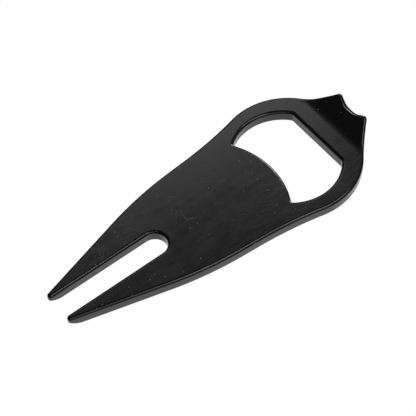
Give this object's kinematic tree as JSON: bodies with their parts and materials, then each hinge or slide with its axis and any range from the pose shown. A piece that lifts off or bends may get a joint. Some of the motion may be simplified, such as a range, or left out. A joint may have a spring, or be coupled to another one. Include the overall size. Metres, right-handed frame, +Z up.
{
  "type": "divot repair tool",
  "caption": "Flat forked divot repair tool with tapered prongs, a round bottle-opener ring and a bent lip with a scooped grip rest, satin black coated metal.",
  "frame": {"origin": "centre of the overall footprint, at mid-length and mid-width, on the flat underside", "axes": "+X along the tool from the prong tips towards the bent lip, +Y across it, +Z up from the flat underside towards the side the lip bends to"},
  "size_m": [0.0994, 0.0394, 0.0073],
  "materials": {
    "black_coat": "satin black coat on cast metal"
  },
  "bodies": {
    "root": {"tool_body": "black_coat"}
  },
  "joints": []
}
